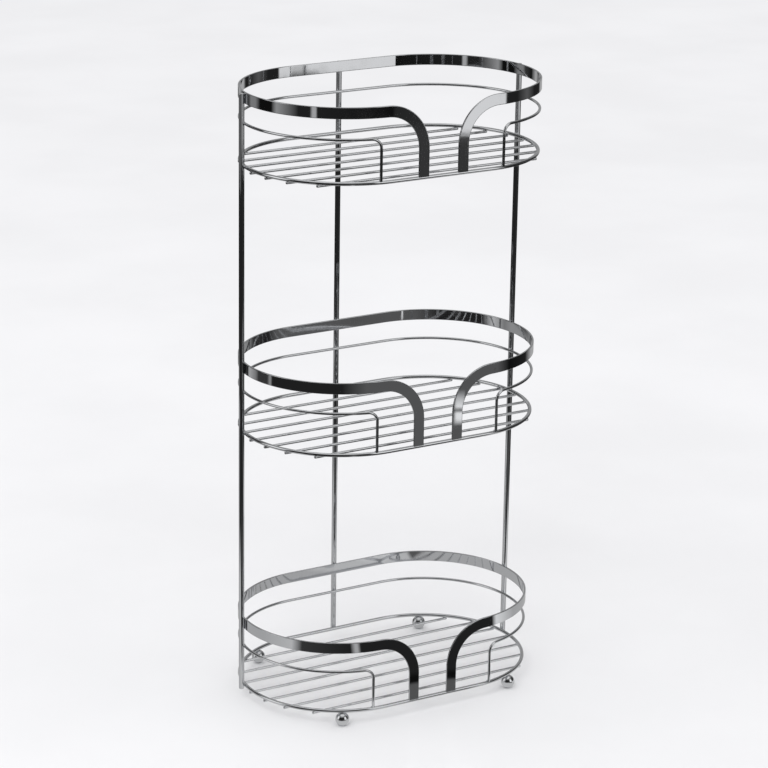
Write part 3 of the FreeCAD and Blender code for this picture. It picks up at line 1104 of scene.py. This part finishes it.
@dataclass
class Studio:
    """The plain pale floor, the soft light, and sheets that give the chrome painted reflections and
    highlights to show.

    Attributes:
        floor_half: Half the floor's width.
        floor_colour: Its colour.
        floor_gloss: Roughness of its polish.
        sky: Colour of the surrounding light.
        sky_level: Its strength.
    """

    floor_half: float = 60.0
    floor_colour: Triple = (0.88, 0.88, 0.89)
    floor_gloss: float = 0.16
    sky: Triple = (0.99, 0.99, 1.0)
    sky_level: float = 1.0

    POLISH: ClassVar[float] = 0.5
    POLISH_EDGE: ClassVar[Pair] = (0.35, 1.2)
    CLOUD_PITCH: ClassVar[float] = 0.35
    CLOUD_DETAIL: ClassVar[float] = 4.0
    CLOUD_EDGE: ClassVar[Pair] = (0.3, 0.7)
    CLOUD_SHADE: ClassVar[float] = 0.96
    LIFT: ClassVar[float] = 0.002
    DOME: ClassVar[float] = 8.0
    GLOW: ClassVar[str] = "glow"

    # Tones by bearing in degrees, for the rings of painted reflections that the chrome shows
    PLAIN: ClassVar[Stops] = ((0, PALE),)
    UNDER: ClassVar[Stops] = ((0, SILVER),)
    INNER: ClassVar[Stops] = (
        (-100, ASH), (-94, SLATE), (-66, SLATE), (-60, ASH), (0, ASH), (30, SILVER), (150, SILVER),
        (180, ASH),
    )
    BAR: ClassVar[Stops] = (
        (-166, ASH), (-157, CHARCOAL), (-116, BLACK), (-46, BLACK), (-41, PALE), (-18, SILVER),
        (165, SILVER),
    )
    FRONT: ClassVar[Stops] = (
        (-166, ASH), (-157, CHARCOAL), (-116, SOOT), (-112, SILVER), (-110, SILVER), (-107, SOOT),
        (-46, SOOT), (-41, PALE), (-18, SILVER), (165, SILVER),
    )
    NEAR: ClassVar[Stops] = (
        (-90, SOOT), (-70, SLATE), (-50, SLATE), (-27, BLACK), (27, BLACK), (34, STEEL), (66, STEEL),
        (80, SILVER), (102, CHARCOAL), (124, GREY), (164, GREY), (170, SOOT),
    )
    INSIDE: ClassVar[Stops] = (
        (-125, SOOT), (-95, SLATE), (-37, SLATE), (-24, SOOT), (6, CHARCOAL), (17, GREY), (40, STEEL),
        (128, STEEL), (140, GREY), (161, ASH), (176, SOOT),
    )
    RUN: ClassVar[Stops] = (
        (-119, SOOT), (-93, SLATE), (-44, SLATE), (-27, BLACK), (6, SOOT), (24, SILVER), (66, STEEL),
        (102, SOOT), (120, SOOT), (124, SILVER), (137, GREY), (142, CHARCOAL), (156, CHARCOAL),
        (160, STEEL), (163, SOOT),
    )
    DARK: ClassVar[Stops] = (
        (-70, SOOT), (-63, CHARCOAL), (-58, CHARCOAL), (-51, SOOT), (20, SOOT), (50, STEEL), (66, STEEL),
        (84, SOOT),
    )
    LEFT: ClassVar[Stops] = ((-168, SOOT), (-155, SOOT), (-152, SILVER), (-149, SILVER), (-147, SOOT))
    RIGHT: ClassVar[Stops] = (
        (-56.8, CHARCOAL), (-55.8, PALE), (-42.5, PALE), (-40.5, SOOT), (-24, SOOT), (-7, SLATE),
        (10, SOOT), (26, SOOT), (34, SILVER), (66, STEEL), (76, SLATE), (88, SILVER), (102, BLACK),
        (118, CHARCOAL), (123, GREY), (132, GREY), (140, BLACK), (158, BLACK), (165, STEEL),
    )
    FAR: ClassVar[Stops] = LEFT + ((-65, BLACK),) + RIGHT
    HORIZON: ClassVar[Stops] = LEFT + ((-133, CHARCOAL), (-95, SILVER), (-65, CHARCOAL)) + RIGHT
    # The white stretches paint the highlights of two softboxes, which are no lamps; the lamp itself does
    # not show in the chrome.
    UPPER: ClassVar[Stops] = (
        (-178, SOOT), (-84, SOOT), (-79, WHITE), (-49, WHITE), (-44, CHARCOAL), (10, CHARCOAL), (28, STEEL),
        (66, STEEL), (90, SILVER), (110, CHARCOAL), (143, CHARCOAL), (148, WHITE), (174, WHITE),
    )
    GAP: ClassVar[Stops] = ((-90, GREY), (60, STEEL))

    # Painted reflections: rings on the floor from one distance to another, and of the dome from one angle
    # up to another
    LAID: ClassVar[tuple[Ring, ...]] = (
        (0.010, 0.120, UNDER), (0.132, 0.175, INNER), (0.183, 0.195, BAR), (0.208, 0.50, FRONT),
        (0.70, 1.075, NEAR), (1.09, 1.175, INSIDE), (1.215, 1.36, RUN), (1.42, 2.87, DARK),
        (2.94, 3.30, FAR), (4.40, DOME, HORIZON),
    )
    HUNG: ClassVar[tuple[Ring, ...]] = ((6.0, 38.0, UPPER), (46.0, 58.0, GAP), (66.0, 89.0, PLAIN))

    # The two cards of painted highlights, with a row at each height
    SIDE_REACH: ClassVar[float] = 0.89
    SIDE_BEARINGS: ClassVar[Pair] = (-62.6, -52.0)
    SIDE_EDGE: ClassVar[Stops] = ((-59.8, SLATE), (-59.0, PALE))
    SIDE_ROWS: ClassVar[tuple[tuple[float, Stops], ...]] = (
        (0.452, SIDE_EDGE), (0.460, PLAIN), (0.642, PLAIN),
    )
    LEG_REACH: ClassVar[float] = 0.30
    LEG_BEARINGS: ClassVar[Pair] = (-67.0, -64.0)
    LEG_STEP: ClassVar[float] = 0.25
    LEG_EDGE: ClassVar[Pair] = (-66.2, -65.9)
    LEG_ROWS: ClassVar[tuple[tuple[float, Tone], ...]] = (
        (0.257, CHARCOAL), (0.265, WHITE), (0.272, WHITE), (0.276, SLATE), (0.280, WHITE), (0.300, SLATE),
    )

    LAMP: ClassVar[Softbox] = Softbox(
        "key_lamp", place=(-1.6, -1.2, 2.4), target=(0.0, 0.0, 0.2), size=(1.4, 1.4), watts=20.0,
    )

    def screens(self) -> tuple[Screen, ...]:
        """List the screens: one all around, from the floor up over the top, and two small upright cards.

        Returns:
            The screens: the first paints reflections in the chrome, the cards paint highlights.
        """
        rows = [Row(distance, self.LIFT, stops) for *ends, stops in self.LAID for distance in ends]
        for *ends, stops in self.HUNG:
            for angle in map(math.radians, ends):
                rows.append(Row(self.DOME * math.cos(angle), self.DOME * math.sin(angle), stops))
        side = tuple(Row(self.SIDE_REACH, height, stops) for height, stops in self.SIDE_ROWS)
        start, end = self.LEG_EDGE
        leg = tuple(
            Row(self.LEG_REACH, height, ((start, SLATE), (end, tone))) for height, tone in self.LEG_ROWS
        )
        return (
            # The first sheet paints reflections into the chrome all around; the two cards paint highlights.
            Screen("painted_reflection_surround", tuple(rows)),
            Screen("painted_highlight_side_card", side, self.SIDE_BEARINGS),
            Screen("painted_highlight_leg_card", leg, self.LEG_BEARINGS, self.LEG_STEP),
        )

    def build(self) -> None:
        """Lay the floor, set up the screens of painted reflections, and hang the lamp and the surrounding
        light.
        """
        self.lay_floor()
        material = self.screen_material()
        screens = self.screens()
        for screen in screens:
            self.set_screen(screen, material)
        self.LAMP.build()
        self.light_sky()
        bpy.context.scene.view_settings.view_transform = "Standard"
        LOG.info("studio: floor, %d screens and a lamp", len(screens))

    def sheet(self, name: str, grid: Array, material: bpy.types.Material) -> bpy.types.Object:
        """Make a single sheet of the studio.

        Args:
            name: Its name.
            grid: Its points by row, column and axis.
            material: Its material.

        Returns:
            The new object.
        """
        rows, columns = grid.shape[:2]
        start = np.arange(rows - 1)[:, None] * columns + np.arange(columns - 1)[None, :]
        quads = np.stack([start, start + columns, start + columns + 1, start + 1], axis=-1).reshape(-1, 4)
        mesh = bpy.data.meshes.new(name)
        mesh.from_pydata(grid.reshape(-1, 3), [], quads.tolist())
        mesh.materials.append(material)
        item = new_object(name, mesh)
        return item

    def lay_floor(self) -> None:
        """Lay the floor: a pale sheet with a faint cloudy change of shade, polished around the caddy."""
        material = bpy.data.materials.new("pale_floor")
        graph = Graph(material)
        place = graph.node("ShaderNodeTexCoord", {}, {}).outputs["Object"]
        clouds = graph.noise(place, (self.CLOUD_PITCH,) * 3, self.CLOUD_DETAIL).fade(*self.CLOUD_EDGE)
        away = graph.number("ShaderNodeVectorMath", {"operation": "LENGTH"}, {0: place}, "Value")
        darker = tuple(self.CLOUD_SHADE * part for part in self.floor_colour)
        shader = graph.node("ShaderNodeBsdfPrincipled", {}, {
            "Base Color": graph.blend(clouds, self.floor_colour, darker),
            "Specular IOR Level": 0.0,
            "Coat Weight": self.POLISH * (1.0 - away.fade(*self.POLISH_EDGE)),
            "Coat Roughness": self.floor_gloss,
        })
        graph.output("ShaderNodeOutputMaterial", shader)
        edge = np.array([-self.floor_half, self.floor_half])
        x, y = np.meshgrid(edge, edge, indexing="ij")
        self.sheet("floor", np.stack([x, y, np.zeros_like(x)], axis=-1), material)

    def screen_material(self) -> bpy.types.Material:
        """Make the screens' material: painted reflections that glow by each point's tone and are clear from
        behind.

        Returns:
            The material.
        """
        material = bpy.data.materials.new("screen")
        graph = Graph(material)
        tone = graph.node("ShaderNodeAttribute", {"attribute_name": self.GLOW}, {})
        glow = graph.node("ShaderNodeEmission", {}, {"Color": tone.outputs["Color"], "Strength": 1.0})
        clear = graph.node("ShaderNodeBsdfTransparent", {}, {})
        behind = graph.node("ShaderNodeNewGeometry", {}, {}).outputs["Backfacing"]
        shader = graph.node("ShaderNodeMixShader", {}, {0: behind, 1: glow.outputs[0], 2: clear.outputs[0]})
        graph.output("ShaderNodeOutputMaterial", shader)
        material.cycles.emission_sampling = "NONE"
        return material

    def set_screen(self, screen: Screen, material: bpy.types.Material) -> None:
        """Set up a screen of painted reflections that neither the camera nor the floor's own shade sees.

        Args:
            screen: Its shape and tones.
            material: Its material.
        """
        points, tones = screen.grid()
        item = self.sheet(screen.name, points, material)
        layer = item.data.attributes.new(self.GLOW, "FLOAT", "POINT")
        layer.data.foreach_set("value", tones.astype(np.float32).ravel())
        item.visible_camera = False
        item.visible_diffuse = False
        item.visible_shadow = False

    def light_sky(self) -> None:
        """Light the scene from all around, evenly, and show the floor's tone beyond its edge."""
        world = bpy.data.worlds.new("sky")
        graph = Graph(world)
        path = graph.node("ShaderNodeLightPath", {}, {}).outputs
        seen = Term(graph, path["Is Camera Ray"]) + path["Is Glossy Ray"] + path["Is Transmission Ray"]
        backdrop = tuple(light * part for light, part in zip(self.sky, self.floor_colour))
        colour = graph.blend(seen, self.sky, backdrop)
        shader = graph.node("ShaderNodeBackground", {}, {"Color": colour, "Strength": self.sky_level})
        graph.output("ShaderNodeOutputWorld", shader)
        bpy.context.scene.world = world


def main() -> None:
    """Build the caddy, the studio and the camera."""
    logging.basicConfig(level=logging.INFO, format="%(name)s %(message)s")
    for tier in Tier:
        Basket(tier).build()
    Posts().build()
    Feet().build()
    Studio().build()
    PhotoCamera().build()


if __name__ == "__main__":
    main()
